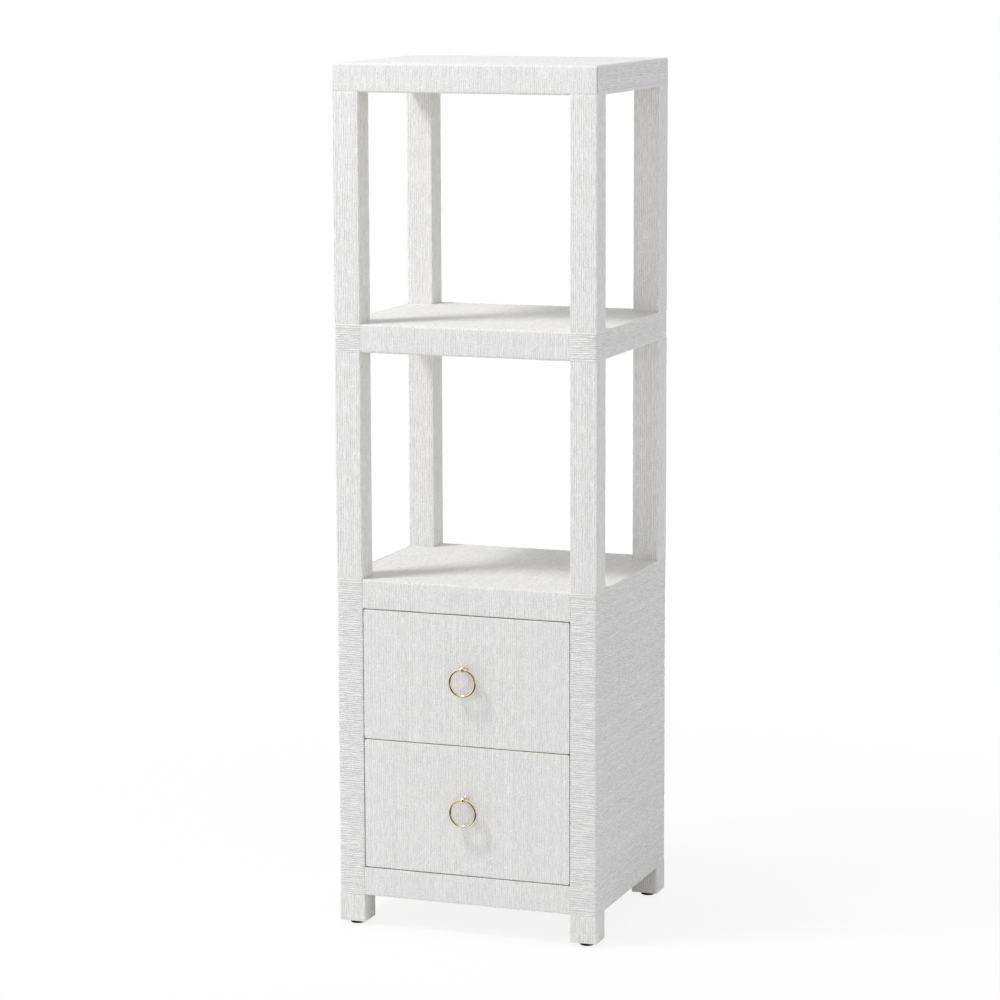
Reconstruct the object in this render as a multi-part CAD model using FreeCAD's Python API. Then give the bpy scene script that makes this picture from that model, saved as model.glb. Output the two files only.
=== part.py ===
import FreeCAD, Part

import math
import os

# An open shelf tower over a base with two drawers. Posts and boards are wood, and every outer face is
# covered with sheets of white raffia. Millimetres, +Z up, the drawers face -Y. The origin is on the floor
# under the middle of the whole, ring pulls included.

# Plan size
width = 432.0
depth = 356.0
post_width = 43.0

# Heights, in the order in which they stack up from the floor
glide_height = 7.0
foot_height = 44.0
apron_height = 46.0
drawer_opening_height = 421.0
deck_height = 46.0
bay_height = 359.5
slab_height = 44.5

# Boards and their covering
raffia = 1.0
deck_board_thickness = 18.0
rail_thickness = 20.0
side_panel_thickness = 9.0
slide_board_thickness = 15.0
back_panel_thickness = 9.0
bottom_board_thickness = 12.0

# Dowels between posts, rails and boards
dowel_diameter = 8.0
dowel_length = 30.0
dowel_spacing = 20.0
dowel_chamfer = 0.8
hole_clearance = 0.05
hole_end_room = 1.0

# Glides nailed under the posts
glide_diameter = 23.0
glide_edge = 2.0
nail_diameter = 3.0
nail_length = 18.0

# Drawer boxes
drawer_names = ("lower", "upper")
front_gap = 2.0
front_thickness = 20.0
box_board = 12.0
box_lift = 15.0
box_headroom = 40.0
tongue = 5.0
bottom_panel_thickness = 5.0
bottom_panel_lift = 10.0
groove_clearance = 0.3

# Ball-bearing slides
slide_width = 12.7
slide_height = 35.0
slide_sheet = 1.2
slide_setback = 2.0
slide_back_room = 24.0
lip_angle = 20.0
ball_diameter = 4.0
ball_clearance = 0.2
ball_inset = 8.2
balls_in_row = 3
cage_length = 70.0
cage_sheet = 0.8
cage_inset = 3.6
cage_reach = 1.6
cage_end_room = 5.0

# Screws
screw_diameter = 3.2
screw_length = 9.0
screw_head_diameter = 6.4
screw_head_height = 2.0
screw_inset = 30.0
head_round = 0.9
recess_length = 3.8
recess_width = 0.9
recess_depth = 1.3

# Ring pulls
ring_diameter = 48.0
ring_wire = 5.4
eye_reach = 14.5
eye_clearance = 0.1
head_diameter = 10.0
neck_diameter = 7.0
stud_foot_diameter = 9.0
stud_foot_height = 1.5
pull_screw_diameter = 4.0
pull_screw_bite = 7.0
pull_head_diameter = 8.0
pull_head_height = 2.5

# Levels
base_bottom = glide_height + foot_height
opening_bottom = base_bottom + apron_height
opening_top = opening_bottom + drawer_opening_height
deck_top = opening_top + deck_height
deck_underside = deck_top - raffia - deck_board_thickness
shelf_bottom = deck_top + bay_height
shelf_top = shelf_bottom + slab_height
top_bottom = shelf_top + bay_height
height = top_bottom + slab_height

# Plan lines: the outer faces, the wood just under the raffia, and the drawer opening
pull_reach = eye_reach + head_diameter / 2
half = width / 2
front = (pull_reach - depth) / 2
back = front + depth
wood_half = half - raffia
wood_front = front + raffia
wood_back = back - raffia
post_core = post_width - 2 * raffia
post_inside = wood_half - post_core
opening_half = half - post_width
behind_front_post = wood_front + post_core
before_back_post = wood_back - post_core
behind_rail = wood_front + rail_thickness
edge_round = 2 * raffia

AXIS_X = FreeCAD.Vector(1, 0, 0)
AXIS_Y = FreeCAD.Vector(0, 1, 0)
AXIS_Z = FreeCAD.Vector(0, 0, 1)
CENTRE = FreeCAD.Vector(0, 0, 0)
SHARP_CORNERS = 2

pieces = {}


def block(x, y, z):
    """A box from its (low, high) pairs."""
    size = [high - low for low, high in (x, y, z)]
    return Part.makeBox(*size, FreeCAD.Vector(x[0], y[0], z[0]))


def rod(diameter, start, axis, length):
    return Part.makeCylinder(diameter / 2, length, start, axis)


def to_side(shape, side):
    """A right-hand shape, mirrored for the left side."""
    return shape if side > 0 else shape.mirror(CENTRE, AXIS_X)


def rounded(shape, wanted):
    """The shape with the edges whose middle passes the test rounded as raffia folds over an edge."""
    edges = [edge for edge in shape.Edges if wanted(edge, edge.CenterOfMass)]
    return shape.makeFillet(edge_round, edges)


def runs_along(edge, axis):
    return edge.tangentAt(edge.FirstParameter).cross(axis).Length < 1e-6


def save(name, *solids):
    shape = solids[0] if len(solids) == 1 else Part.makeCompound(list(solids))
    pieces[name] = shape


hands = (("left", -1), ("right", 1))
post_plan = {
    f"{end}_{hand}": (side * (half - post_width / 2), y)
    for hand, side in hands
    for end, y in (("front", front + post_width / 2), ("back", back - post_width / 2))
}


def post_block(plan, size, z):
    x, y = plan
    reach = size / 2
    return block((x - reach, x + reach), (y - reach, y + reach), z)


post_cores = {
    name: post_block(plan, post_core, (glide_height, top_bottom + raffia))
    for name, plan in post_plan.items()
}
all_posts = Part.makeCompound(list(post_cores.values()))
covered_posts = Part.makeCompound(
    [post_block(plan, post_width, (glide_height, top_bottom)) for plan in post_plan.values()]
)


# Dowels: two stand in the top of each post, two join each end of the apron, one joins each end of the deck
# rail, and one pins the shelf to each post.
dowel_places = []
for x, y in post_plan.values():
    side = math.copysign(1, x)
    for step in (-dowel_spacing / 2, dowel_spacing / 2):
        dowel_places.append((FreeCAD.Vector(x + step, y, top_bottom + raffia), AXIS_Z))
    shelf_joint = FreeCAD.Vector(side * post_inside, y, (shelf_bottom + shelf_top) / 2)
    dowel_places.append((shelf_joint, AXIS_X))
for hand, side in hands:
    rail_middle = wood_front + rail_thickness / 2
    apron_middle = (base_bottom + opening_bottom) / 2
    for z in (
        apron_middle - dowel_spacing / 2,
        apron_middle + dowel_spacing / 2,
        (opening_top + raffia + deck_underside) / 2,
    ):
        dowel_places.append((FreeCAD.Vector(side * post_inside, rail_middle, z), AXIS_X))


def dowel(middle, axis):
    shape = rod(dowel_diameter, middle - axis * (dowel_length / 2), axis, dowel_length)
    rims = [edge for edge in shape.Edges if isinstance(edge.Curve, Part.Circle)]
    return shape.makeChamfer(dowel_chamfer, rims)


def dowel_hole(middle, axis):
    length = dowel_length + 2 * hole_end_room
    return rod(dowel_diameter + 2 * hole_clearance, middle - axis * (length / 2), axis, length)


dowel_holes = Part.makeCompound([dowel_hole(*place) for place in dowel_places])
save("dowels", *[dowel(*place) for place in dowel_places])


# Glides: a plastic button moulded on a nail, driven into the foot of each post.
def glide_at(plan):
    radius = glide_diameter / 2
    nail = nail_diameter / 2
    tip = glide_height + nail_length
    outline = [
        (0, 0),
        (radius - glide_edge, 0),
        (radius, glide_edge),
        (radius, glide_height),
        (nail, glide_height),
        (nail, tip - nail_diameter),
        (0, tip),
        (0, 0),
    ]
    half_section = Part.makePolygon([FreeCAD.Vector(r, 0, z) for r, z in outline])
    turned = Part.Face(half_section).revolve(CENTRE, AXIS_Z, 360)
    turned.translate(FreeCAD.Vector(*plan, 0))
    return turned


def nail_hole(plan):
    start = FreeCAD.Vector(*plan, glide_height)
    return rod(nail_diameter + 2 * hole_clearance, start, AXIS_Z, nail_length + hole_end_room)


for name, plan in post_plan.items():
    save(f"glide_{name}", glide_at(plan))
    save(f"post_{name}", post_cores[name].cut(dowel_holes).cut(nail_hole(plan)))


# Raffia sleeves: one round each post in each open bay, and one round each foot.
def sleeve(plan, z):
    outside = rounded(post_block(plan, post_width, z), lambda edge, middle: runs_along(edge, AXIS_Z))
    return outside.cut(post_block(plan, post_core, z))


bays = ((deck_top, shelf_bottom), (shelf_top, top_bottom))
save("bay_post_wraps", *[sleeve(plan, bay) for bay in bays for plan in post_plan.values()])
save("foot_wraps", *[sleeve(plan, (glide_height, base_bottom)) for plan in post_plan.values()])


# Top: a thick board on the four posts, covered all round, with the covering cut out where the posts pass.
top_core = block(
    (-wood_half, wood_half), (wood_front, wood_back), (top_bottom + raffia, height - raffia)
)
top_outside = rounded(
    block((-half, half), (front, back), (top_bottom, height)), lambda edge, middle: True
)
save("top_board", top_core.cut(dowel_holes))
save("top_wrap", top_outside.cut(top_core).cut(all_posts))


# Middle shelf: a thick board notched round the posts. One raffia sheet goes round it from front to back,
# cut out round the covered posts.
def side_band(side, z):
    """A sheet over one side that turns the corners onto the faces of both posts."""
    outside = rounded(
        block((opening_half, half), (front, back), z),
        lambda edge, middle: runs_along(edge, AXIS_Z) and middle.x > wood_half,
    )
    inside = block((opening_half, wood_half), (wood_front, wood_back), z)
    return to_side(outside.cut(inside), side)


shelf_span = (shelf_bottom, shelf_top)
shelf_core = block(
    (-wood_half, wood_half), (wood_front, wood_back), (shelf_bottom + raffia, shelf_top - raffia)
)
shelf_loop = rounded(
    block((-wood_half, wood_half), (front, back), shelf_span),
    lambda edge, middle: runs_along(edge, AXIS_X),
)
save("shelf_board", shelf_core.cut(all_posts).cut(dowel_holes))
save("shelf_wrap", shelf_loop.cut(shelf_core).cut(covered_posts))
for hand, side in hands:
    save(f"shelf_band_{hand}", side_band(side, shelf_span))


# Base: deck board and front rail under one sheet, which folds over the back edge and under the rail.
deck_span = (opening_top, deck_top)
rail_span = (-post_inside, post_inside)
deck_board = block((-wood_half, wood_half), (wood_front, wood_back), (deck_underside, deck_top - raffia))
deck_rail = block(rail_span, (wood_front, behind_rail), (opening_top + raffia, deck_underside))
deck_loop = rounded(
    block((-wood_half, wood_half), (front, back), deck_span),
    lambda edge, middle: runs_along(edge, AXIS_X) and (middle.z > deck_underside or middle.y < wood_front),
)
deck_inside = block(
    (-wood_half, wood_half), (wood_front, wood_back), (opening_top + raffia, deck_top - raffia)
)
under_deck = block((-half, half), (behind_rail, back), (opening_top, deck_underside))
save("deck_board", deck_board.cut(all_posts))
save("deck_rail", deck_rail.cut(dowel_holes))
save("deck_wrap", deck_loop.cut(deck_inside).cut(under_deck).cut(covered_posts))


# Apron under the drawers, with a sheet folded over its front.
apron_front = (wood_front, behind_rail)
apron = block(rail_span, apron_front, (base_bottom + raffia, opening_bottom - raffia))
apron_outside = rounded(
    block((-opening_half, opening_half), (front, behind_rail), (base_bottom, opening_bottom)),
    lambda edge, middle: runs_along(edge, AXIS_X) and middle.y < wood_front,
)
save("apron", apron.cut(dowel_holes))
save("apron_wrap", apron_outside.cut(apron))


# Closed sides, back and bottom of the base. The inner boards stand level with the drawer opening and carry
# the slides. Each side band also turns into the opening, along the inner face of the front post.
between_posts = (behind_front_post, before_back_post)
board_top = opening_bottom - raffia
bottom_board = block(
    (-(wood_half - side_panel_thickness), wood_half - side_panel_thickness),
    (behind_rail, wood_back - back_panel_thickness),
    (board_top - bottom_board_thickness, board_top),
)
back_panel = block(
    rail_span, (wood_back - back_panel_thickness, wood_back), (base_bottom, deck_underside)
)
save("bottom_board", bottom_board.cut(all_posts))
save("back_panel", back_panel)
slide_board = block(
    (opening_half, opening_half + slide_board_thickness), between_posts, (board_top, deck_underside)
)
for hand, side in hands:
    panel = block(
        (wood_half - side_panel_thickness, wood_half), between_posts, (base_bottom, deck_underside)
    )
    turned_in = block(
        (opening_half, post_inside), (wood_front, behind_front_post), (opening_bottom, opening_top)
    )
    save(f"side_panel_{hand}", to_side(panel, side))
    save(
        f"base_band_{hand}",
        side_band(side, (base_bottom, deck_top)).fuse(to_side(turned_in, side)).removeSplitter(),
    )


# Slide sections, drawn across the slide: u runs from the slide board towards the drawer box, and v runs up
# from the middle of the slide. The lips of rail and runner curl round the balls from opposite sides.
race = ball_diameter / 2 + ball_clearance
ball_height = slide_height / 2 - slide_sheet - race
slide_front = front + front_thickness + slide_setback
slide_back = wood_back - back_panel_thickness - slide_back_room
slide_length = slide_back - slide_front
travel = slide_length - cage_length - 2 * cage_end_room
box_half = opening_half - slide_width
drawer_count = len(drawer_names)
front_height = (drawer_opening_height - (drawer_count + 1) * front_gap) / drawer_count
box_height = front_height - box_lift - box_headroom
front_bottoms = {
    name: opening_bottom + front_gap + index * (front_height + front_gap)
    for index, name in enumerate(drawer_names)
}


def section_point(u, v):
    return FreeCAD.Vector(opening_half - u, slide_front, v)


def race_arc(radius, start, end, up):
    """An arc about the ball, between two angles in degrees, on the upper or lower ball row."""
    points = []
    for angle in (start, (start + end) / 2, end):
        turn = math.radians(angle)
        point = section_point(
            ball_inset + radius * math.cos(turn), up * (ball_height + radius * math.sin(turn))
        )
        points.append(point)
    return Part.Arc(*points).toShape()


def bent_strip(edges, thickness):
    """A bent channel, thickened to the inside of the path and run the length of the slide."""
    path = Part.Wire(edges)
    section = path.makeOffset2D(-thickness, SHARP_CORNERS, True, True)
    return section.extrude(AXIS_Y * slide_length)


def line(*points):
    return [Part.LineSegment(a, b).toShape() for a, b in zip(points, points[1:])]


def slide_rail():
    outer = race + slide_sheet
    rim = ball_height + outer
    edges = [race_arc(outer, -lip_angle, 90, 1)]
    edges += line(
        section_point(ball_inset, rim),
        section_point(0, rim),
        section_point(0, -rim),
        section_point(ball_inset, -rim),
    )
    edges.append(race_arc(outer, 90, -lip_angle, -1))
    return bent_strip(edges, slide_sheet)


def slide_runner():
    rim = ball_height - race
    edges = [race_arc(race, 180 + lip_angle, 270, -1)]
    edges += line(
        section_point(ball_inset, -rim),
        section_point(slide_width, -rim),
        section_point(slide_width, rim),
        section_point(ball_inset, rim),
    )
    edges.append(race_arc(race, 270, 180 + lip_angle, 1))
    return bent_strip(edges, slide_sheet)


def cage_with_balls():
    """One ball cage and its two rows of balls, halfway along what the balls roll."""
    rim = ball_height + cage_sheet / 2
    tip = ball_inset + cage_reach
    strip = bent_strip(
        line(
            section_point(tip, rim),
            section_point(cage_inset, rim),
            section_point(cage_inset, -rim),
            section_point(tip, -rim),
        ),
        cage_sheet,
    )
    start = slide_front + cage_end_room + travel / 2
    reach = (0, half)
    strip = strip.common(block(reach, (start, start + cage_length), (-slide_height, slide_height)))
    pitch = cage_length / balls_in_row
    balls = []
    for row in (-1, 1):
        for index in range(balls_in_row):
            place = section_point(ball_inset, row * ball_height)
            place.y = start + (index + 0.5) * pitch
            balls.append(Part.makeSphere(ball_diameter / 2, place))
            pocket = Part.makeSphere(ball_diameter / 2 + ball_clearance, place)
            strip = strip.cut(pocket)
    return [strip] + balls


def pan_head(diameter, height, start, axis):
    """A screw head that stands on start and rises along axis, with a rounded rim and a cross recess."""
    head = rod(diameter, CENTRE, AXIS_Z, height)
    rim = max(head.Edges, key=lambda edge: edge.CenterOfMass.z)
    head = head.makeFillet(head_round, [rim])
    arm = (-recess_length / 2, recess_length / 2)
    slot = (-recess_width / 2, recess_width / 2)
    deep = (height - recess_depth, height)
    head = head.cut(block(arm, slot, deep)).cut(block(slot, arm, deep))
    head.Placement = FreeCAD.Placement(start, FreeCAD.Rotation(AXIS_Z, axis))
    return head


def screw(start, axis):
    """A pan-head screw whose head sits on start and whose shank runs along axis."""
    head = pan_head(screw_head_diameter, screw_head_height, start, -axis)
    return head.fuse(rod(screw_diameter, start, axis, screw_length)).removeSplitter()


def screw_hole(start, axis):
    return rod(screw_diameter + 2 * hole_clearance, start, axis, screw_length + hole_end_room)


def slide_screw_places(u):
    """Where two screws bear on a web whose free face is at u, seen on the right-hand slide."""
    places = []
    for y in (slide_front + screw_inset, slide_back - screw_inset):
        place = section_point(u, 0)
        place.y = y
        places.append(place)
    return places


rail_places = slide_screw_places(slide_sheet)
runner_places = slide_screw_places(slide_width - slide_sheet)
rail_screws = [screw(place, AXIS_X) for place in rail_places]
rail_holes = Part.makeCompound([screw_hole(place, AXIS_X) for place in rail_places])
runner_screws = [screw(place, -AXIS_X) for place in runner_places]
runner_holes = Part.makeCompound([screw_hole(place, -AXIS_X) for place in runner_places])
rail = slide_rail().cut(rail_holes)
runner = slide_runner().cut(runner_holes)
cage = cage_with_balls()
slide_middles = {
    name: FreeCAD.Vector(0, 0, bottom + box_lift + box_height / 2) for name, bottom in front_bottoms.items()
}


def on_both_sides(parts, middle):
    """Copies of right-hand slide parts for the left and right slides of a drawer."""
    return [to_side(part.translated(middle), side) for hand, side in hands for part in parts]


fitted_rail_screws = []
for name, middle in slide_middles.items():
    for hand, side in hands:
        save(f"{name}_rail_{hand}", to_side(rail.translated(middle), side))
        save(f"{name}_runner_{hand}", to_side(runner.translated(middle), side))
    save(f"{name}_ball_cages", *on_both_sides(cage, middle))
    slide_board = slide_board.cut(rail_holes.translated(middle))
    fitted_rail_screws += on_both_sides(rail_screws, middle)
for hand, side in hands:
    save(f"slide_board_{hand}", to_side(slide_board, side))
save("rail_screws", *fitted_rail_screws)


# Ring pull, drawn with its eye at the origin: a turned stud whose round head is drilled across, and a ring
# that hangs through the hole. The hole clears the bow of the ring within the head.
ring_radius = (ring_diameter - ring_wire) / 2
head_radius = head_diameter / 2
ring_bow = ring_radius - math.sqrt(ring_radius**2 - head_radius**2)
eye_diameter = ring_wire + 2 * (ring_bow + eye_clearance)


def pull_stud():
    neck = neck_diameter / 2
    foot = stud_foot_diameter / 2
    neck_end = math.sqrt(head_radius**2 - neck**2)
    slant = head_radius / math.sqrt(2)
    corners = [
        FreeCAD.Vector(0, eye_reach, 0),
        FreeCAD.Vector(foot, eye_reach, 0),
        FreeCAD.Vector(foot, eye_reach - stud_foot_height, 0),
        FreeCAD.Vector(neck, eye_reach - stud_foot_height - (foot - neck), 0),
        FreeCAD.Vector(neck, neck_end, 0),
    ]
    nose = FreeCAD.Vector(0, -head_radius, 0)
    edges = line(*corners)
    edges.append(Part.Arc(corners[-1], FreeCAD.Vector(slant, -slant, 0), nose).toShape())
    edges += line(nose, corners[0])
    turned = Part.Face(Part.Wire(edges)).revolve(CENTRE, AXIS_Y, 360)
    eye = rod(eye_diameter, FreeCAD.Vector(-head_diameter, 0, 0), AXIS_X, 2 * head_diameter)
    thread_start = FreeCAD.Vector(0, eye_reach, 0)
    thread = rod(pull_screw_diameter + 2 * hole_clearance, thread_start, -AXIS_Y, pull_screw_bite)
    return turned.cut(eye).cut(thread)


def pull_ring():
    return Part.makeTorus(ring_radius, ring_wire / 2, FreeCAD.Vector(0, 0, -ring_radius), AXIS_Y)


def pull_screw():
    start = FreeCAD.Vector(0, eye_reach + front_thickness, 0)
    shank = rod(pull_screw_diameter, start, -AXIS_Y, front_thickness + pull_screw_bite)
    return shank.fuse(pan_head(pull_head_diameter, pull_head_height, start, AXIS_Y)).removeSplitter()


def pull_hole():
    start = FreeCAD.Vector(0, eye_reach + front_thickness, 0)
    return rod(pull_screw_diameter + 2 * hole_clearance, start, -AXIS_Y, front_thickness)


# Drawers: a covered front, and a box whose sides are let into the front, whose back is let into the sides,
# and whose bottom panel lies in grooves all round.
front_half = opening_half - front_gap
front_back = front + front_thickness
inner_half = box_half - box_board
box_back_front = slide_back - 2 * box_board
across_box = (-inner_half - tongue, inner_half + tongue)
along_box = (front_back - tongue, box_back_front + tongue)


def save_front(name, bottom, let_in, pull_hole):
    """The front board, cut for the box that is let into it, and its raffia."""
    top = bottom + front_height
    board_half = front_half - raffia
    outside = rounded(
        block((-front_half, front_half), (front, front_back), (bottom, top)),
        lambda edge, middle: runs_along(edge, AXIS_Y) or middle.y < wood_front,
    )
    board = block(
        (-board_half, board_half), (wood_front, front_back), (bottom + raffia, top - raffia)
    )
    save(f"{name}_front", board.cut(let_in).cut(pull_hole))
    save(f"{name}_front_wrap", outside.cut(board).cut(pull_hole))


for name, bottom in front_bottoms.items():
    middle = slide_middles[name]
    eye = FreeCAD.Vector(0, front - eye_reach, bottom + front_height / 2 + ring_radius)
    box_bottom = bottom + box_lift
    box_span = (box_bottom, box_bottom + box_height)
    panel_bottom = box_bottom + bottom_panel_lift
    panel_top = panel_bottom + bottom_panel_thickness
    panel = block(across_box, along_box, (panel_bottom, panel_top))
    groove = block(across_box, along_box, (panel_bottom, panel_top + groove_clearance))
    box_back = block(across_box, (box_back_front, box_back_front + box_board), box_span)
    side_board = block((inner_half, box_half), (front_back - tongue, slide_back), box_span)
    box_sides = on_both_sides([side_board.cut(runner_holes.translated(middle))], CENTRE)
    for (hand, side), box_side in zip(hands, box_sides):
        save(f"{name}_side_{hand}", box_side.cut(groove).cut(box_back))
    save(f"{name}_back", box_back.cut(groove))
    save(f"{name}_bottom", panel)
    save_front(name, bottom, Part.makeCompound([*box_sides, groove]), pull_hole().translated(eye))
    save(f"{name}_pull_stud", pull_stud().translated(eye))
    save(f"{name}_pull_ring", pull_ring().translated(eye))
    save(f"{name}_screws", pull_screw().translated(eye), *on_both_sides(runner_screws, middle))

os.makedirs("parts", exist_ok=True)
for name, shape in pieces.items():
    shape.exportStep(f"parts/{name}.step")

print(f"{len(pieces)} pieces, {width} x {depth + pull_reach} x {height} mm, drawer travel {travel:.1f} mm")
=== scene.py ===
import bisect
import math
import random
from dataclasses import dataclass

import bmesh
import bpy
from mathutils import Matrix, Vector, noise


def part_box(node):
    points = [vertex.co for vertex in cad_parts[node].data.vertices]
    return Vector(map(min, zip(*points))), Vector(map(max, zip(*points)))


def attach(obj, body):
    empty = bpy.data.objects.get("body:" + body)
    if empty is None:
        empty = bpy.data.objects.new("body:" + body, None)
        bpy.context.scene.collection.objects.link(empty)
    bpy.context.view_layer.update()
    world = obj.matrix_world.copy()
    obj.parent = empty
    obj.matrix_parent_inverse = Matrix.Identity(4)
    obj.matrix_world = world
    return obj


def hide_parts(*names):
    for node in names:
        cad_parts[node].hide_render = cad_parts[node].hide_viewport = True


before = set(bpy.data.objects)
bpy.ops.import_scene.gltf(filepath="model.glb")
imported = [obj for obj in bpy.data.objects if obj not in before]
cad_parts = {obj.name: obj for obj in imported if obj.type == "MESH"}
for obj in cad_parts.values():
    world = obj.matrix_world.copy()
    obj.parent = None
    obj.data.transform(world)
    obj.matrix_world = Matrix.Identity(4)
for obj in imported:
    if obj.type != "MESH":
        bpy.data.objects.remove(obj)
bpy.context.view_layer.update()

mm = 0.001


# Glides: black buttons moulded on a nail and driven into the foot of each post. They keep the raffia off
# the floor, and a rounded rim lets them slide without catching.
glide_rim = 1.1 * mm
glide_rim_steps = 5
glide_waist = 0.4 * mm
glide_sides = 56
fresh_black = (0.006, 0.006, 0.006, 1)
scuffed_black = (0.016, 0.016, 0.016, 1)
sharp_angle = math.radians(45)
weld_distance = 0.001 * mm
UP = Vector((0, 0, 1))


class Finish:
    """A socket in a material's node tree. Sums on it add Math nodes, and node() adds any other kind."""

    def __init__(self, tree, socket=None):
        self.tree = tree
        self.socket = socket

    def node(self, kind, settings, sockets, output=0):
        made = self.tree.nodes.new(kind)
        for name, value in settings.items():
            setattr(made, name, value)
        for name, value in sockets.items():
            if isinstance(value, Finish):
                self.tree.links.new(value.socket, made.inputs[name])
            else:
                made.inputs[name].default_value = value
        return Finish(self.tree, made.outputs[output])

    def sum_of(self, operation, first, second):
        return self.node("ShaderNodeMath", {"operation": operation}, {0: first, 1: second})

    def __add__(self, other):
        return self.sum_of("ADD", self, other)

    def __rsub__(self, other):
        return self.sum_of("SUBTRACT", other, self)

    def __mul__(self, other):
        return self.sum_of("MULTIPLY", self, other)

    __radd__ = __add__
    __rmul__ = __mul__

    def between(self, low, high):
        """How far this value has come from low to high, held within 0 and 1."""
        sockets = {"Value": self, "From Min": low, "From Max": high}
        return self.node("ShaderNodeMapRange", {"clamp": True}, sockets)

    def mixed(self, first, second):
        """The colour that goes from first to second as this value goes from 0 to 1."""
        return self.node("ShaderNodeMix", {"data_type": "RGBA"}, {0: self, 6: first, 7: second}, 2)

    def speckle(self, scale, detail=2.0, rough=0.5):
        """Noise over this place, which is first multiplied along its axes."""
        place = self.node("ShaderNodeVectorMath", {"operation": "MULTIPLY"}, {0: self, 1: scale})
        sockets = {"Vector": place, "Scale": 1.0, "Detail": detail, "Roughness": rough}
        return self.node("ShaderNodeTexNoise", {}, sockets)

    def bump(self, strength, distance):
        sockets = {"Height": self, "Strength": strength, "Distance": distance}
        return self.node("ShaderNodeBump", {}, sockets)


def start_finish(name):
    """A new material with its surface shader, and the place on the object to build its pattern from."""
    material = bpy.data.materials.new(name)
    material.use_nodes = True
    tree = material.node_tree
    place = Finish(tree).node("ShaderNodeTexCoord", {}, {}, "Object")
    return material, tree.nodes["Principled BSDF"], place


def feed(shader, **sockets):
    """Sets or links the shader's sockets, whose names have underscores for spaces."""
    for name, value in sockets.items():
        socket = shader.inputs[name.replace("_", " ")]
        if isinstance(value, Finish):
            value.tree.links.new(value.socket, socket)
        else:
            socket.default_value = value


def new_object(name, work, finish):
    """Turns a bmesh into an object with one finish."""
    mesh = bpy.data.meshes.new(name)
    work.to_mesh(mesh)
    work.free()
    mesh.materials.append(finish)
    made = bpy.data.objects.new(name, mesh)
    bpy.context.scene.collection.objects.link(made)
    return made


def make_piece(name, work, finish, body, node):
    """Turns a bmesh into a smooth piece that rides on a body in place of its CAD node."""
    piece = new_object(name, work, finish)
    piece.data.shade_smooth()
    piece.data.set_sharp_from_angle(angle=sharp_angle)
    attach(piece, body)
    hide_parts(node)


def black_plastic():
    """Moulded plastic with a fine grain, paler and duller where it is scuffed."""
    material, shader, place = start_finish("black_plastic")
    grain = place.speckle((2600, 2600, 2600))
    scuff = place.speckle((160, 160, 60), 5.0).between(0.5, 0.75)
    feed(
        shader,
        Base_Color=scuff.mixed(fresh_black, scuffed_black),
        Roughness=0.5 + 0.25 * scuff,
        Specular_IOR_Level=0.1,
        Normal=grain.bump(0.12, 0.1 * mm),
    )
    return material


def close_up(work):
    """Merges what a spin left doubled, and turns all faces outwards."""
    bmesh.ops.remove_doubles(work, verts=work.verts[:], dist=weld_distance)
    bmesh.ops.recalc_face_normals(work, faces=work.faces[:])


def turned(profile, steps, centre, axis):
    """A body turned from a profile of (radius, height) points about an axis through a centre."""
    work = bmesh.new()
    side = axis.orthogonal().normalized()
    points = [work.verts.new(centre + side * radius + axis * height) for radius, height in profile]
    line = [work.edges.new(pair) for pair in zip(points, points[1:])]
    bmesh.ops.spin(
        work,
        geom=points + line,
        cent=centre,
        axis=axis,
        angle=math.tau,
        steps=steps,
        use_merge=True,
    )
    close_up(work)
    return work


def quarter_round(centre, radius, start, steps):
    """Profile points along a quarter circle that begins at an angle and turns left."""
    angles = [start + math.pi / 2 * step / steps for step in range(steps + 1)]
    return [(centre[0] + radius * math.cos(a), centre[1] + radius * math.sin(a)) for a in angles]


plastic = black_plastic()
post_corners = ("front_left", "front_right", "back_left", "back_right")
for corner in post_corners:
    low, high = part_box(f"glide_{corner}")
    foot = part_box(f"post_{corner}")[0].z
    middle = Vector(((low.x + high.x) / 2, (low.y + high.y) / 2, low.z))
    radius = (high.x - low.x) / 2
    thick = foot - low.z
    rim_centre = (radius - glide_rim, glide_rim)
    profile = [(0, 0)]
    profile += quarter_round(rim_centre, glide_rim, -math.pi / 2, glide_rim_steps)
    profile += [(radius, thick - 3 * glide_waist), (radius - glide_waist, thick - 2 * glide_waist)]
    profile += [(radius - glide_waist, thick), (0, thick)]
    button = turned(profile, glide_sides, middle, UP)
    make_piece(f"glide_button_{corner}", button, plastic, "cabinet", f"glide_{corner}")


# Wood frame: four posts of pale rubberwood from floor to top, with the top, shelf and deck boards, rails,
# side panels and drawer fronts dowelled and glued to them. Only inner faces stay bare.
frame_pale = (0.62, 0.45, 0.27, 1)
frame_dark = (0.44, 0.28, 0.14, 1)
arris = 2.5 * mm
arris_steps = 2
hands = ("left", "right")
drawers = ("lower", "upper")


def pale_wood(name, pale, dark, grain_axis):
    """Planed wood with its grain along X, Y or Z: growth bands, fine pores and a slow drift of tone."""
    material, shader, place = start_finish(name)

    def grain(across, along, detail, rough):
        scale = tuple(along if axis == grain_axis else across for axis in "XYZ")
        return place.speckle(scale, detail, rough)

    drift = grain(9.0, 0.7, 3.0, 0.6)
    pores = grain(900.0, 18.0, 3.0, 0.6)
    bands = grain(70.0, 2.2, 4.0, 0.55)
    figure = (0.55 * bands + 0.3 * pores + 0.15 * drift).between(0.34, 0.66)
    feed(
        shader,
        Base_Color=figure.mixed(pale, dark),
        Roughness=0.52 + 0.2 * pores,
        Normal=pores.bump(0.25, 0.15 * mm),
    )
    return material


def dress(finish, *names):
    """Gives CAD nodes a finish in place of their plain colour."""
    for name in names:
        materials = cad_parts[name].data.materials
        materials.clear()
        materials.append(finish)


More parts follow.
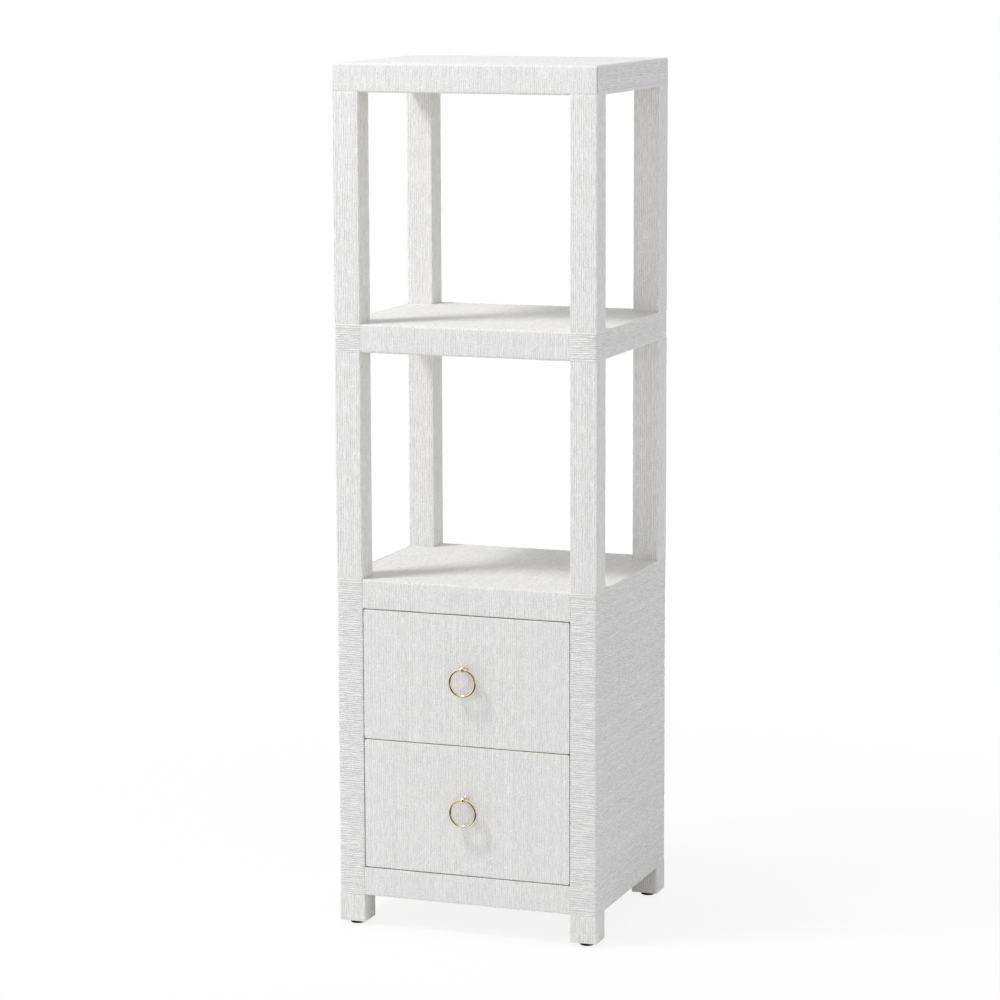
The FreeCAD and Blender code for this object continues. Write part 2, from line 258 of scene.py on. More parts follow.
def plank(outline, bottom, top):
    """A board sawn to an outline, with its arrises eased so that the raffia turns over them."""
    work = bmesh.new()
    face = work.faces.new([work.verts.new((x, y, bottom)) for x, y in outline])
    raised = bmesh.ops.extrude_face_region(work, geom=[face])
    moved = [part for part in raised["geom"] if isinstance(part, bmesh.types.BMVert)]
    bmesh.ops.translate(work, verts=moved, vec=(0, 0, top - bottom))
    bmesh.ops.recalc_face_normals(work, faces=work.faces[:])
    bmesh.ops.bevel(
        work,
        geom=work.edges[:],
        offset=arris,
        segments=arris_steps,
        profile=0.5,
        affect="EDGES",
        material=-1,
    )
    return work


def rectangle(low, high):
    return [(low.x, low.y), (high.x, low.y), (high.x, high.y), (low.x, high.y)]


def cross_shape(low, high):
    """The outline of a board with a notch for a post at each corner."""
    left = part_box("post_front_left")[1].x
    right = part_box("post_front_right")[0].x
    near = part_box("post_front_left")[1].y
    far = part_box("post_back_left")[0].y
    return [
        (left, low.y), (right, low.y), (right, near), (high.x, near),
        (high.x, far), (right, far), (right, high.y), (left, high.y),
        (left, far), (low.x, far), (low.x, near), (left, near),
    ]


upright_wood = pale_wood("frame_wood_upright", frame_pale, frame_dark, "Z")
level_wood = pale_wood("frame_wood_level", frame_pale, frame_dark, "X")
frame_boards = [(f"post_{corner}", upright_wood, "cabinet") for corner in post_corners]
frame_boards += [(name, level_wood, "cabinet") for name in ("top_board", "deck_rail", "apron")]
frame_boards += [(f"{drawer}_front", level_wood, f"{drawer}_drawer") for drawer in drawers]
for name, finish, body in frame_boards:
    low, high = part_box(name)
    board = plank(rectangle(low, high), low.z, high.z)
    make_piece(f"{name}_core", board, finish, body, name)
for name in ("shelf_board", "deck_board"):
    low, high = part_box(name)
    board = plank(cross_shape(low, high), low.z, high.z)
    make_piece(f"{name}_core", board, level_wood, "cabinet", name)
dress(upright_wood, "side_panel_left", "side_panel_right")
dress(level_wood, "dowels")


# Lining of the base: back panel, bottom board and the two boards that carry the drawer slides. They are
# fibreboard with a thin white sprayed coat.
coat_white = (0.78, 0.77, 0.74, 1)
coat_shaded = (0.72, 0.71, 0.68, 1)


def sprayed_coat():
    """A thin coat with faint clouds, over the fine dimples that spraying leaves."""
    material, shader, place = start_finish("white_board")
    cloud = place.speckle((22, 22, 22), 4.0)
    spray = place.speckle((1500, 1500, 1500), 1.0)
    feed(
        shader,
        Base_Color=cloud.between(0.3, 0.7).mixed(coat_white, coat_shaded),
        Roughness=0.42 + 0.12 * cloud,
        Normal=spray.bump(0.12, 0.12 * mm),
    )
    return material


dress(sprayed_coat(), "back_panel", "bottom_board", "slide_board_left", "slide_board_right")


# Raffia sleeves round the posts in both bays, and round the feet. A sheet of painted strands, laid upright,
# is glued on and butted at an inside corner. Its ends are tucked a little under the sheets that it meets.
fold_steps = 5
fold_run = 4.5 * mm


@dataclass
class Weave:
    """How a sheet is made. A pair holds a value for each of its two edges, the first and the last."""

    width: float  # of a strand
    relief: float  # from the grooves up to the crests
    sway: float  # how far a strand strays to the side
    step: float = fold_run  # between the rows of the mesh, where strands cross the fold line
    raised: float = 0.0  # how far the whole sheet stands out
    bulge: float = 0.5 * mm  # how far slack glue lets the sheet swell
    rolled: tuple = (0.0, 0.0)  # extra height of the strands rolled up at an edge
    hems: tuple = (1.0, 1.0)  # how much straw shows at an edge
    # painted shade: how darkly the grooves between strands are painted, as if shaded
    groove_shade: float = 1.0  # how dark the grooves are
    pale: float = 0.0  # how much lighter the paint is
    bare: float = 0.0  # how much straw shows all over
    bare_level: float = 0.0  # how much straw shows on faces that look up or down


sleeve_weave = Weave(
    width=3.2 * mm,
    relief=0.5 * mm,
    sway=0.3 * mm,
    step=5.5 * mm,
    raised=0.2 * mm,
    bulge=0.35 * mm,
    hems=(0.3, 0.3),
    # the posts get more shade painted into their grooves than other sheets
    groove_shade=1.5,
    pale=0.5,
)


class FoldLine:
    """The line that a sheet follows over a board: straight runs, rounded turns and its outward side."""

    def __init__(self, corners, radii=(), closed=False, outward=None):
        bends = []
        turning = range(len(corners)) if closed else range(1, len(corners) - 1)
        for index, radius in zip(turning, radii):
            corner = corners[index]
            ahead = (corner - corners[index - 1]).normalized()
            onward = (corners[(index + 1) % len(corners)] - corner).normalized()
            centre = corner + (onward - ahead) * radius
            for step in range(fold_steps + 1):
                angle = math.pi / 2 * step / fold_steps
                side = ahead * math.sin(angle) - onward * math.cos(angle)
                bends.append((centre + side * radius, side))
        if closed:
            bends.append(bends[0])
        else:
            first = outward or bends[0][1]
            last = outward or bends[-1][1]
            bends = [(corners[0], first)] + bends + [(corners[-1], last)]
        self.points = [bends[0]]
        self.places = [0.0]
        for (start, side), (end, next_side) in zip(bends, bends[1:]):
            gap = (end - start).length
            pieces = max(1, math.ceil(gap / fold_run))
            for piece in range(1, pieces + 1):
                share = piece / pieces
                self.points.append((start.lerp(end, share), side.lerp(next_side, share).normalized()))
                self.places.append(self.places[-1] + gap / pieces)
        self.length = self.places[-1]

    def at(self, place):
        """The point and the outward side at a distance along the line."""
        index = min(max(bisect.bisect_right(self.places, place), 1), len(self.places) - 1)
        low, high = self.places[index - 1], self.places[index]
        share = (place - low) / (high - low)
        start, side = self.points[index - 1]
        end, next_side = self.points[index]
        return start.lerp(end, share), side.lerp(next_side, share)


strand_section = ((0.0, 0.0), (0.3, 1.0), (0.7, 1.0))  # share of the strand's width, and height there
strand_width_spread = (0.75, 1.25)
strand_rise_spread = (0.85, 1.0)
rolled_strands = 2


def strand_stations(length, weave, draw):
    """Places across a sheet, three to a strand of uneven width, with their rise, tone and rolled height."""
    widths = []
    while sum(widths) < length:
        widths.append(weave.width * draw.uniform(*strand_width_spread))
    fit = length / sum(widths)
    stations = []
    start = 0.0
    for index, width in enumerate(widths):
        rolled = weave.rolled[0] if index < rolled_strands else 0.0
        if index >= len(widths) - rolled_strands:
            rolled = weave.rolled[1]
        rise = 1.0 if rolled else draw.uniform(*strand_rise_spread)
        tone = draw.random()
        for share, height in strand_section:
            stations.append((start + share * width * fit, rise * height, tone, rolled))
        start += width * fit
    stations.append((length, 0.0, tone, 0.0))
    return stations


hem_places = (0.3 * mm, 1.0 * mm)


def hemmed(places, length):
    """Places along a run, with two more close to each end for the hem."""
    inner = [place for place in places if hem_places[-1] < place < length - hem_places[-1]]
    start = [0.0, *hem_places]
    return start + inner + [length - place for place in reversed(start)]


def turned_over(place, span, radius):
    """Where a sheet lies that rounds both ends of its span: place, drop and tilt of its outward side."""
    quarter = math.pi / 2 * radius
    flat = span[1] - span[0] - 2 * radius
    if place < quarter:
        tilt = place / radius - math.pi / 2
        start = span[0] + radius
    elif place > quarter + flat:
        tilt = (place - quarter - flat) / radius
        start = span[1] - radius
    else:
        return span[0] + radius + place - quarter, 0.0, 0.0
    return start + radius * math.sin(tilt), radius * (1 - math.cos(tilt)), tilt


def sheet_ground(line, across, span, end_round, along, beside):
    """The point under a place on a sheet, and the sheet's outward side there."""
    point, side = line.at(along)
    if not end_round:
        return point + across * (span[0] + beside), side.normalized()
    beside, sink, tilt = turned_over(beside, span, end_round)
    outward = (side * math.cos(tilt) + across * math.sin(tilt)).normalized()
    return point + across * beside - side * sink, outward


crest_share = 0.35  # of the relief, which stands out past the CAD sheet
swell_cell = 0.009
swell_middle = 0.85
swell_reach = 0.95
swell_most = 1.1
strand_apart = 97  # gives each strand's tone its own row of noise
bulge_cell = 0.06
bulge_middle = 0.4
bulge_layer = 5


def strand_lift(weave, station, run, shift, inward):
    """How high a strand stands over its ground. The sheet doesn't bulge on faces that look inward."""
    place, rise, tone, rolled = station
    swell_noise = noise.noise(Vector((tone * strand_apart, run / swell_cell, 0)) + shift)
    swell = min(swell_middle + swell_reach * swell_noise, swell_most)
    bulge_noise = noise.noise(Vector((place / bulge_cell, run / bulge_cell, bulge_layer)) + shift)
    bulging = max(0.0, bulge_middle + bulge_noise)
    lift = crest_share * weave.relief + rolled + weave.raised - weave.relief * (1 - rise * swell)
    return lift + weave.bulge * bulging * (1 - inward)


underside_start = 0.5
underside_straw = 4.5


def strand_look(weave, tone, groove, hem, outward):
    """What the paint needs to know of a place: its tone, its painted groove shade, and how bare it is."""
    under = underside_straw * max(0.0, -outward.z - underside_start)
    fold = 1 - max(abs(part) for part in outward)
    bare = max(hem, fold, under, weave.bare, weave.bare_level * abs(outward.z))
    return Vector((tone - weave.pale, groove, bare))


hem_depth = 0.35 * mm
hem_dip = 0.2 * mm
hem_groove = 0.3
rolled_straw = 0.8
sway_cell = (0.012, 0.011)
noise_room = 9  # sheets start anywhere within it, so that no two are alike
grid_half = 0.5


def lay_sheet(work, line, across, span, seed, weave, follow=True, end_round=0.0):
    """Lays a sheet of strands over a fold line and over a span across it.

    The strands follow the line or cross it. With end_round, the sheet also turns over its span's ends.
    """
    draw = random.Random(seed)
    span_length = span[1] - span[0] + (math.pi - 2) * end_round
    strand_length, run_length = (span_length, line.length) if follow else (line.length, span_length)
    strands = strand_stations(strand_length, weave, draw)
    even = math.ceil(run_length / weave.step)
    run_places = line.places if follow else [run_length * place / even for place in range(even + 1)]
    runs = hemmed(run_places, run_length)
    shift = Vector([draw.uniform(0, noise_room) for axis in range(3)])
    last_column = len(strands) - 1
    last_row = len(runs) - 1
    look = work.verts.layers.float_vector.get("strand") or work.verts.layers.float_vector.new("strand")
    paint = work.loops.layers.uv.get("strands") or work.loops.layers.uv.new("strands")
    grid = bmesh.ops.create_grid(work, x_segments=last_column, y_segments=last_row, size=grid_half)
    painted = {}
    sides = {}
    faces = set()
    for vert in grid["verts"]:
        column = round((vert.co.x + grid_half) * last_column)
        row = round((vert.co.y + grid_half) * last_row)
        place, rise, tone, rolled = strands[column]
        run = runs[row]
        edge = min(place, strand_length - place)
        rows_in = min(row, last_row - row)
        slack = min(1.0, edge / (2 * weave.width)) * weave.sway
        sway_place = Vector((place / sway_cell[0], run / sway_cell[1], 0))
        swayed = place + slack * noise.noise(sway_place + shift)
        along, beside = (run, swayed) if follow else (swayed, run)
        ground, outward = sheet_ground(line, across, span, end_round, along, beside)
        face_on = 1 - abs(outward.x)
        rolled *= face_on
        inward = max(0.0, -outward.x if ground.x > 0 else outward.x)
        at_hem = edge == 0 or rows_in == 0
        if at_hem:
            lift = weave.raised - hem_depth
        else:
            lift = strand_lift(weave, (place, rise, tone, rolled), run, shift, inward)
            if rows_in == 1:
                lift -= hem_dip
        beyond_middle = swayed > strand_length / 2 if follow else run > run_length / 2
        trim = face_on * weave.hems[beyond_middle]
        hem = rolled_straw * trim if rolled else 0.0
        if at_hem or rows_in <= len(hem_places) or column in (1, last_column - 1):
            hem = trim
        # painted shade: the lower a place lies between the crests, the darker it is painted; less so at the
        # hems
        groove = hem_groove if at_hem else weave.groove_shade * (1 - rise)
        vert.co = ground + outward * lift
        vert[look] = strand_look(weave, tone, groove, hem, outward)
        painted[vert] = (swayed + shift.x, run + shift.y)
        sides[vert] = outward
        faces.update(vert.link_faces)
    for face in faces:
        for loop in face.loops:
            loop[paint].uv = painted[loop.vert]
    middle = grid["verts"][len(strands) * (len(runs) // 2) + len(strands) // 2]
    face = middle.link_faces[0]
    face.normal_update()
    if face.normal.dot(sides[middle]) < 0:
        bmesh.ops.reverse_faces(work, faces=list(faces))


paint_white = (0.905, 0.905, 0.907, 1)
paint_grey = (0.615, 0.615, 0.616, 1)
# a grey for the shade painted into the grooves, and also the colour of the few dark flecks
shade_and_fleck_grey = (0.5, 0.49, 0.475, 1)
straw_colour = (0.84, 0.77, 0.645, 1)


def painted_raffia():
    """White paint on straw, streaked along the strands, with painted shade in the grooves and bare hems."""
    material, shader, place = start_finish("white_raffia")
    strand = place.node("ShaderNodeAttribute", {"attribute_name": "strand"}, {}, "Vector")
    tone, groove, hem = (strand.node("ShaderNodeSeparateXYZ", {}, {0: strand}, part) for part in range(3))
    sheet = place.node("ShaderNodeUVMap", {"uv_map": "strands"}, {})
    fibres = sheet.speckle((2400, 26, 1), 2.0)
    streaks = sheet.speckle((560, 55, 1), 1.0)
    specks = sheet.speckle((640, 300, 1), 1.0)
    flecks = sheet.speckle((460, 110, 1), 1.0).between(0.66, 0.76)
    straw = sheet.speckle((330, 40, 1), 2.0).between(0.62, 0.76)
    shade = (0.08 * tone + 0.28 * streaks + 0.64 * specks).between(0.28, 0.72)
    # painted shade: the grooves are darkened towards grey as if shade fell there, with a few dark flecks
    # besides
    groove_shade_and_flecks = 0.6 * groove * streaks.between(0.25, 0.65) + 0.2 * flecks
    paint_with_shade_and_flecks = groove_shade_and_flecks.mixed(shade.mixed(paint_white, paint_grey), shade_and_fleck_grey)
    bare = 0.14 * straw + 0.24 * hem
    relief = 0.5 * fibres + 0.5 * specks
    feed(
        shader,
        Base_Color=bare.mixed(paint_with_shade_and_flecks, straw_colour),
        Roughness=0.56 + 0.22 * fibres,
        Normal=relief.bump(0.35, 0.3 * mm),
    )
    return material


raffia = painted_raffia()
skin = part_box("post_front_left")[0].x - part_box("bay_post_wraps")[0].x
top_low, top_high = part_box("top_wrap")
shelf_low, shelf_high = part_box("shelf_wrap")
deck_low, deck_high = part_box("deck_wrap")
feet_low, feet_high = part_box("foot_wraps")
sleeve_radius = 1.6 * mm
sleeve_lap = 0.5 * mm
sleeve_top_lap = 1.3 * mm


def post_outline(hand, end):
    """The outer corners of a covered post, with the butted corner inside and to the back."""
    low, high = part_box(f"post_{end}_{hand}")
    near, far = low.y - skin, high.y + skin
    left, right = low.x - skin, high.x + skin
    back_right = Vector((right, far, 0))
    others = [Vector((left, far, 0)), Vector((left, near, 0)), Vector((right, near, 0))]
    return [back_right, *others] if hand == "left" else [*others, back_right]


def sleeves(spans, label):
    """Sleeves on all four posts, over each span of their height."""
    work = bmesh.new()
    for hand in hands:
        for end in ("front", "back"):
            line = FoldLine(post_outline(hand, end), [sleeve_radius] * 4, closed=True)
            for span in spans:
                seed = f"{label} {end} {hand} {span[0]:.3f}"
                lay_sheet(work, line, UP, span, seed, sleeve_weave, follow=False)
    return work


def cover(name, sheets, node, body="cabinet"):
    """Makes laid sheets a piece of painted raffia in place of their CAD node."""
    make_piece(name, sheets, raffia, body, node)


bay_spans = (
    (deck_high.z - sleeve_lap, shelf_low.z + sleeve_lap),
    (shelf_high.z - sleeve_lap, top_low.z + sleeve_top_lap),
)
foot_spans = ((feet_low.z, feet_high.z),)
cover("bay_post_sleeves", sleeves(bay_spans, "bay"), "bay_post_wraps")
cover("foot_sleeves", sleeves(foot_spans, "foot"), "foot_wraps")


# Top: one sheet goes right round the thick board from front to back, so that its strands stand upright on
# the front edge, and a strip with level strands closes each side.
fold_radius = 3 * mm
top_end_radius = 2 * mm
ACROSS_X = Vector((1, 0, 0))
board_weave = Weave(width=3.2 * mm, relief=0.45 * mm, sway=0.2 * mm)
top_end_weave = Weave(width=3.2 * mm, relief=0.9 * mm, sway=0.9 * mm)


def round_board(low, high):
    """The corners round a board, seen from its end: up behind, over the top and down in front."""
    corners = ((high.y, low.z), (high.y, high.z), (low.y, high.z), (low.y, low.z))
    return [Vector((0, y, z)) for y, z in corners]


def boxed(line, low, high, seed, strip_ends, radius, weave, strip_weave):
    """A sheet round a board that turns over both ends, with a flat strip let in at each end."""
    work = bmesh.new()
    lay_sheet(work, line, ACROSS_X, (low.x, high.x), seed, weave, end_round=radius)
    near, far = strip_ends
    span = (low.z + radius, high.z - radius)
    for x, outward in ((low.x, -ACROSS_X), (high.x, ACROSS_X)):
        strip = FoldLine([Vector((x, near, 0)), Vector((x, far, 0))], outward=outward)
        lay_sheet(work, strip, UP, span, f"{seed} end {x:.3f}", strip_weave)
    return work


top_line = FoldLine(round_board(top_low, top_high), [fold_radius] * 4, closed=True)
top_strips = (top_low.y + fold_radius, top_high.y - fold_radius)
top_weaves = (board_weave, top_end_weave)
top_sheet = boxed(top_line, top_low, top_high, "top", top_strips, top_end_radius, *top_weaves)
cover("top_sheet", top_sheet, "top_wrap")


# Shelf and deck: each sheet is notched round the posts. The shelf's goes right round its board. The deck's
# starts behind, runs over the deck, folds down over the front rail and turns in under it.
tight_radius = 0.9 * mm
ACROSS_Y = Vector((0, 1, 0))


def slice_faces(work, faces, place, normal):
    """Divides faces along a plane."""
    around = {part for face in faces for part in (*face.verts, *face.edges)}
    bmesh.ops.bisect_plane(work, geom=faces + list(around), plane_co=place, plane_no=normal)


def notched(work):
    """Cuts a sheet out round the four posts."""
    left, right = [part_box(f"post_front_{hand}") for hand in hands]
    gap = (left[1].x + skin, right[0].x - skin)
    clear = (left[1].y + skin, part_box("post_back_left")[0].y - skin)
    for x in gap:
        slice_faces(work, work.faces[:], Vector((x, 0, 0)), ACROSS_X)
    for y in clear:
        strips = [face for face in work.faces if not gap[0] < face.calc_center_median().x < gap[1]]
        slice_faces(work, strips, Vector((0, y, 0)), ACROSS_Y)
    posts = []
    for face in work.faces:
        middle = face.calc_center_median()
        if not gap[0] < middle.x < gap[1] and not clear[0] < middle.y < clear[1]:
            posts.append(face)
    bmesh.ops.delete(work, geom=posts, context="FACES")
    return work


shelf_line = FoldLine(round_board(shelf_low, shelf_high), [fold_radius] * 4, closed=True)
deck_back = Vector((0, deck_high.y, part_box("deck_board")[0].z))
rail_back = Vector((0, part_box("deck_rail")[1].y, deck_low.z))
deck_corners = [deck_back, *round_board(deck_low, deck_high)[1:], rail_back]
deck_line = FoldLine(deck_corners, [fold_radius, fold_radius, tight_radius])
for label, line, low, high in (
    ("shelf", shelf_line, shelf_low, shelf_high),
    ("deck", deck_line, deck_low, deck_high),
):
    board_sheet = bmesh.new()
    lay_sheet(board_sheet, line, ACROSS_X, (low.x, high.x), label, board_weave)
    cover(f"{label}_sheet", notched(board_sheet), f"{label}_wrap")


# Apron under the drawers: a sheet of raffia with upright strands, glued to the front of the rail and folded
# over its top and bottom edges.
def over_front(low, high):
    """The corners of a sheet on the front of a board, from behind its top to behind its bottom."""
    lowest_back, *others = round_board(low, high)
    return [*others, lowest_back]


apron_low, apron_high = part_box("apron_wrap")
apron_line = FoldLine(over_front(apron_low, apron_high), [tight_radius, fold_radius])
apron_sheet = bmesh.new()
lay_sheet(apron_sheet, apron_line, ACROSS_X, (apron_low.x, apron_high.x), "apron", board_weave)
cover("apron_sheet", apron_sheet, "apron_wrap")


# Side bands: level strands that cover a side and turn the corners onto the front and back posts. The base's
# bands also turn into the drawer opening, along the inner faces of the front posts.
return_reach = 3 * mm
shelf_band_weave = Weave(
    width=3.3 * mm,
    relief=0.95 * mm,
    sway=1.0 * mm,
    hems=(0.0, 0.5),
    rolled=(0.3 * mm, 0.7 * mm),
)
base_band_weave = Weave(
    width=3.3 * mm,
    relief=1.0 * mm,
    sway=1.0 * mm,
    hems=(0.0, 1.0),
    rolled=(0.0, 1.1 * mm),
)


def band_corners(hand):
    """The corners of a band, from the inner edge of its front post round to that of its back post."""
    low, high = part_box(f"base_band_{hand}")
    outer, inner = (low.x, high.x) if hand == "left" else (high.x, low.x)
    corners = ((inner, low.y), (outer, low.y), (outer, high.y), (inner, high.y))
    return [Vector((x, y, 0)) for x, y in corners]


def return_faces(work, front):
    """The faces of a base band that lie along the inner face of its front post."""
    found = []
    for face in work.faces:
        middle = face.calc_center_median()
        if abs(middle.x - front.x) < return_reach and front.y + tight_radius < middle.y < 0:
            found.append(face)
    return found


opening = (apron_high.z, deck_low.z)
for hand in hands:
    shelf_band = bmesh.new()
    low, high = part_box(f"shelf_band_{hand}")
    line = FoldLine(band_corners(hand), [fold_radius, fold_radius])
    lay_sheet(shelf_band, line, UP, (low.z, high.z), f"shelf {hand}", shelf_band_weave)
    cover(f"shelf_band_sheet_{hand}", shelf_band, f"shelf_band_{hand}")

    base_band = bmesh.new()
    low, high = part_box(f"base_band_{hand}")
    front, *others = band_corners(hand)
    behind = Vector((front.x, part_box(f"post_front_{hand}")[1].y, 0))
    line = FoldLine([behind, front, *others], [tight_radius, fold_radius, fold_radius])
    lay_sheet(base_band, line, UP, (low.z, high.z), f"base {hand}", base_band_weave)
    for z in opening:
        slice_faces(base_band, return_faces(base_band, front), Vector((0, 0, z)), UP)
    beyond = []
    for face in return_faces(base_band, front):
        if not opening[0] < face.calc_center_median().z < opening[1]:
            beyond.append(face)
    bmesh.ops.delete(base_band, geom=beyond, context="FACES")
    cover(f"base_band_sheet_{hand}", base_band, f"base_band_{hand}")


# Drawer slides: channels rolled from zinc-plated strip, with balls in a cage between the rail on the
# cabinet and the runner on the drawer. Pan-head screws hold them.
zinc_bright = (0.62, 0.63, 0.64, 1)
zinc_dull = (0.52, 0.53, 0.54, 1)


def zinc_plate():
    """Bright plating with a cloudy spangle, and the lines of rolling along the strip."""
    material, shader, place = start_finish("zinc_steel")
    rolling = place.speckle((1800, 22, 1800), 2.0)
    spangle = place.speckle((120, 120, 120), 3.0)
    feed(
        shader,
        Base_Color=spangle.between(0.35, 0.65).mixed(zinc_bright, zinc_dull),
        Metallic=1.0,
        Roughness=0.26 + 0.18 * rolling,
        Normal=rolling.bump(0.1, 0.05 * mm),
    )
    return material


zinc = zinc_plate()
dress(zinc, "rail_screws")
for drawer in drawers:
    dress(zinc, f"{drawer}_ball_cages", f"{drawer}_screws")
    for hand in hands:
        dress(zinc, f"{drawer}_rail_{hand}", f"{drawer}_runner_{hand}")


# Drawer boxes: two sides and a back of pale wood under clear lacquer, let into the front and grooved for a
# thin plywood bottom.
box_pale = (0.74, 0.6, 0.42, 1)
box_dark = (0.6, 0.44, 0.26, 1)
box_sides = pale_wood("drawer_wood_sides", box_pale, box_dark, "Y")
box_backs = pale_wood("drawer_wood_backs", box_pale, box_dark, "X")
for drawer in drawers:
    dress(box_sides, *[f"{drawer}_side_{hand}" for hand in hands])
    dress(box_backs, f"{drawer}_back", f"{drawer}_bottom")


# Drawer fronts: a sheet of raffia with upright strands, glued over the face and turned over all four edges
# of the board, with a strip along each end.
front_radius = 0.9 * mm
front_overlap = Vector((0.9 * mm, 0, 0.3 * mm))
corner_radius = 3.5 * mm
front_weave = Weave(width=3.2 * mm, relief=0.45 * mm, sway=0.2 * mm, bulge=0.15 * mm, bare_level=2.0)
edge_weave = Weave(width=3.2 * mm, relief=0.4 * mm, sway=0.35 * mm, bulge=0.15 * mm, bare=2.0)


def round_corners(work, low, high):
    """Draws in the four corners of a drawer front, as seen from the front."""
    middle = (low + high) / 2
    inner = (high - low) / 2 - Vector((corner_radius, 0, corner_radius))
    for vert in work.verts:
        away = vert.co - middle
        over = Vector((abs(away.x) - inner.x, abs(away.z) - inner.z))
        if min(over) > 0 and over.length > corner_radius:
            over *= corner_radius / over.length
            vert.co.x = middle.x + math.copysign(inner.x + over.x, away.x)
            vert.co.z = middle.z + math.copysign(inner.z + over.y, away.z)


for drawer in drawers:
    low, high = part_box(f"{drawer}_front_wrap")
    low -= front_overlap
    high += front_overlap
    line = FoldLine(over_front(low, high), [front_radius] * 2)
    strips = (low.y + front_radius, high.y)
    front_sheet = boxed(line, low, high, f"{drawer} front", strips, front_radius, front_weave, edge_weave)
    round_corners(front_sheet, low, high)
    cover(f"{drawer}_front_sheet", front_sheet, f"{drawer}_front_wrap", f"{drawer}_drawer")


# Ring pulls: a polished brass ring hangs through the drilled head of a turned stud, which a screw holds
# from inside the drawer.
ring_steps = 120
wire_sides = 28
brass_bright = (0.88, 0.78, 0.58, 1)
brass_deep = (0.82, 0.7, 0.49, 1)


def polished_brass():
    """Mirror-bright pale brass with faint smears from handling."""
    material, shader, place = start_finish("polished_brass")
    smear = place.speckle((90, 90, 90), 4.0)
    polish = place.speckle((3000, 3000, 3000), 1.0)
    feed(
        shader,
        Base_Color=smear.between(0.3, 0.7).mixed(brass_bright, brass_deep),
        Metallic=1.0,
        Roughness=0.03 + 0.05 * smear,
        Normal=polish.bump(0.03, 0.02 * mm),
    )
    return material


brass = polished_brass()
for drawer in drawers:
    low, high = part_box(f"{drawer}_pull_ring")
    centre = (low + high) / 2
    wire = (high.y - low.y) / 2
    radius = (high.x - low.x) / 2 - wire
    ring = bmesh.new()
    at_side = Matrix.Translation(centre + ACROSS_X * radius)
    section = bmesh.ops.create_circle(ring, segments=wire_sides, radius=wire, matrix=at_side)
    bmesh.ops.spin(
        ring,
        geom=section["verts"] + ring.edges[:],
        cent=centre,
        axis=ACROSS_Y,
        angle=math.tau,
        steps=ring_steps,
        use_merge=True,
    )
    close_up(ring)
    make_piece(f"{drawer}_ring", ring, brass, f"{drawer}_ring", f"{drawer}_pull_ring")
    dress(brass, f"{drawer}_pull_stud")


# Stage: a white floor that fades into a white surround, a large soft lamp from the upper left, and even
# light from all round. A dark card by the camera and a dark cloth before the tower show only in the brass.
floor_size = 30.0
floor_parts = 4
floor_white = (0.93, 0.93, 0.93, 1)
floor_fade = (0.4, 1.6)
floor_glow = 0.86
horizon_light = 1.144
zenith_light = 0.309
lamp_size = 0.8
lamp_power = 104.0
lamp_direction = Vector((-0.46, -0.39, 0.8)).normalized()
lamp_target = Vector((0, 0, 0.85))
lamp_distance = 4.0
toward_camera = Vector((1.0, -2.7, 0.12)).normalized()
dark_sheets = (  # name, place, side that it faces, and radius
    ("dark_card", Vector((2.26, -6.09, 0.67)), toward_camera, 4.4),
    ("dark_cloth", Vector((0.55, -2.0, 0.003)), UP, 1.65),
)
dark_sheet_sides = 64
cloth_black = (0.012, 0.011, 0.01, 1)
cloth_dusty = (0.03, 0.027, 0.025, 1)


def seen_directly(start):
    """1 for rays from the camera, or from a mirror or glass, and 0 for those that carry light."""
    camera_ray = start.node("ShaderNodeLightPath", {}, {}, "Is Camera Ray")
    glossy_ray = start.node("ShaderNodeLightPath", {}, {}, "Is Glossy Ray")
    glass_ray = start.node("ShaderNodeLightPath", {}, {}, "Is Transmission Ray")
    return start.sum_of("MINIMUM", camera_ray + glossy_ray + glass_ray, 1.0)


def white_floor():
    """Takes the tower's shadow, and glows more and more white away from it."""
    material, shader, place = start_finish("white_floor")
    tree = material.node_tree
    feed(shader, Base_Color=floor_white, Roughness=0.9)
    glow = place.node("ShaderNodeEmission", {}, {"Color": (1, 1, 1, 1), "Strength": 1.0})
    away = place.node("ShaderNodeVectorMath", {"operation": "LENGTH"}, {0: place}, "Value")
    share = seen_directly(place) * (floor_glow + (1 - floor_glow) * away.between(*floor_fade))
    painted = Finish(tree, shader.outputs[0])
    surface = place.node("ShaderNodeMixShader", {}, {0: share, 1: painted, 2: glow})
    tree.links.new(surface.socket, tree.nodes["Material Output"].inputs["Surface"])
    return material


def black_cloth():
    """Matt cloth that reflects next to nothing."""
    material, shader, place = start_finish("dark_cloth")
    fold = place.speckle((3, 3, 3))
    feed(shader, Base_Color=fold.mixed(cloth_black, cloth_dusty), Roughness=0.95)
    return material


floor_work = bmesh.new()
bmesh.ops.create_grid(floor_work, x_segments=floor_parts, y_segments=floor_parts, size=floor_size / 2)
floor = new_object("floor", floor_work, white_floor())

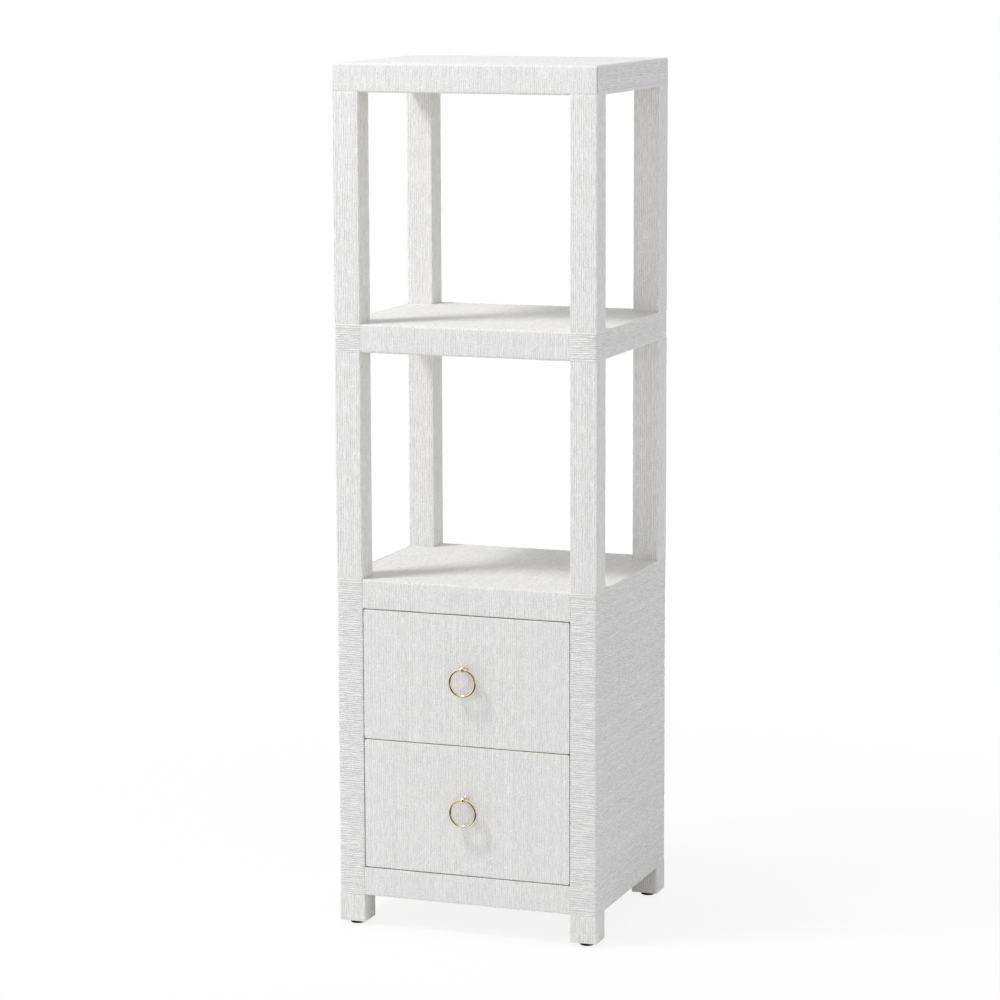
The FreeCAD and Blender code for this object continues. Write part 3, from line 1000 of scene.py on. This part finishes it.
cloth = black_cloth()
for name, place, facing, radius in dark_sheets:
    work = bmesh.new()
    turn = Matrix.Translation(place) @ facing.to_track_quat("Z", "Y").to_matrix().to_4x4()
    bmesh.ops.create_circle(work, cap_ends=True, segments=dark_sheet_sides, radius=radius, matrix=turn)
    sheet = new_object(name, work, cloth)
    sheet.visible_camera = False
    sheet.visible_diffuse = False
    sheet.visible_shadow = False
    sheet.visible_transmission = False

world = bpy.data.worlds.new("white_studio")
world.use_nodes = True
bpy.context.scene.world = world
backdrop = world.node_tree.nodes["Background"]
direction = Finish(world.node_tree).node("ShaderNodeTexCoord", {}, {}, "Generated")
height = direction.node("ShaderNodeSeparateXYZ", {}, {0: direction}, 2).between(0.0, 1.0)
light = horizon_light - (horizon_light - zenith_light) * height
strength = light + seen_directly(direction) * (1.0 - light)
world.node_tree.links.new(strength.socket, backdrop.inputs["Strength"])
backdrop.inputs["Color"].default_value = (1, 1, 1, 1)

lamp = bpy.data.lights.new("key", "AREA")
lamp.size = lamp_size
lamp.energy = lamp_power
lamp_holder = bpy.data.objects.new("key", lamp)
lamp_holder.location = lamp_target + lamp_direction * lamp_distance
lamp_holder.rotation_euler = lamp_direction.to_track_quat("Z", "Y").to_euler()
bpy.context.scene.collection.objects.link(lamp_holder)


# Camera: far off to the front right, a little above the top, as a long lens sees the tower. It turns by its
# yaw, then its pitch, then its roll.
camera_place = Vector((1.91234, -5.23219, 1.57427))
camera_yaw = math.radians(20.1062)
camera_pitch = math.radians(9.1763)
camera_roll = math.radians(-0.1724)
lens_length = 127.098
sensor_size = 36.0

ahead = Vector(
    (
        -math.sin(camera_yaw) * math.cos(camera_pitch),
        math.cos(camera_yaw) * math.cos(camera_pitch),
        -math.sin(camera_pitch),
    )
)
level_right = Vector((math.cos(camera_yaw), math.sin(camera_yaw), 0))
level_up = level_right.cross(ahead)
right = level_right * math.cos(camera_roll) + level_up * math.sin(camera_roll)
up = level_up * math.cos(camera_roll) - level_right * math.sin(camera_roll)
lens = bpy.data.cameras.new("camera")
lens.lens = lens_length
lens.sensor_width = sensor_size
camera = bpy.data.objects.new("camera", lens)
camera_turn = Matrix((right, up, -ahead)).transposed().to_4x4()
camera.matrix_world = Matrix.Translation(camera_place) @ camera_turn
bpy.context.scene.collection.objects.link(camera)
bpy.context.scene.camera = camera
bpy.context.scene.view_settings.view_transform = "Standard"
